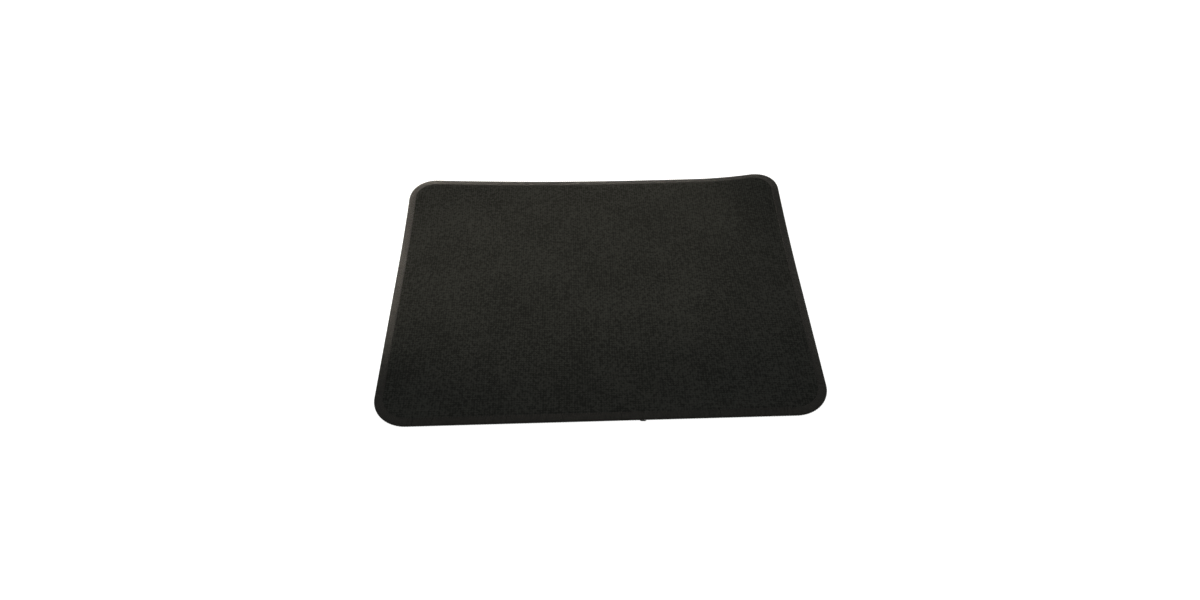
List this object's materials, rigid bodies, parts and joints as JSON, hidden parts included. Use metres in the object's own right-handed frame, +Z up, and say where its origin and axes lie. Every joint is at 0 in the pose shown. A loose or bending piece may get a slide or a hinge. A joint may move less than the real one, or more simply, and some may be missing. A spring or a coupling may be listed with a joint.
{
  "type": "mouse pad",
  "caption": "Rectangular soft mouse pad with rounded corners: dark cloth glide face on a foamed rubber base, bound all round by an overlocked thread edge, with slightly curled far corners.",
  "frame": {"origin": "middle of the pad's bounding rectangle, on the plane of the table it lies on", "axes": "+X along the long side to the right, +Y from the front edge to the far edge, +Z up from the table"},
  "size_m": [0.26, 0.2108, 0.0064],
  "materials": {
    "knitted_cloth": "matt knitted polyester with a fine grain",
    "adhesive_film": "milky hot-melt film, hidden between the layers",
    "foam_rubber": "matt foamed natural rubber with a moulded grip texture",
    "edge_thread": "textured polyester overlock thread, slightly lustrous"
  },
  "bodies": {
    "root": {"cloth_top": "knitted_cloth", "bond_film": "adhesive_film", "rubber_base": "foam_rubber", "upper_looper_thread": "edge_thread", "lower_looper_thread": "edge_thread", "needle_thread": "edge_thread", "thread_tail": "edge_thread"}
  },
  "joints": []
}
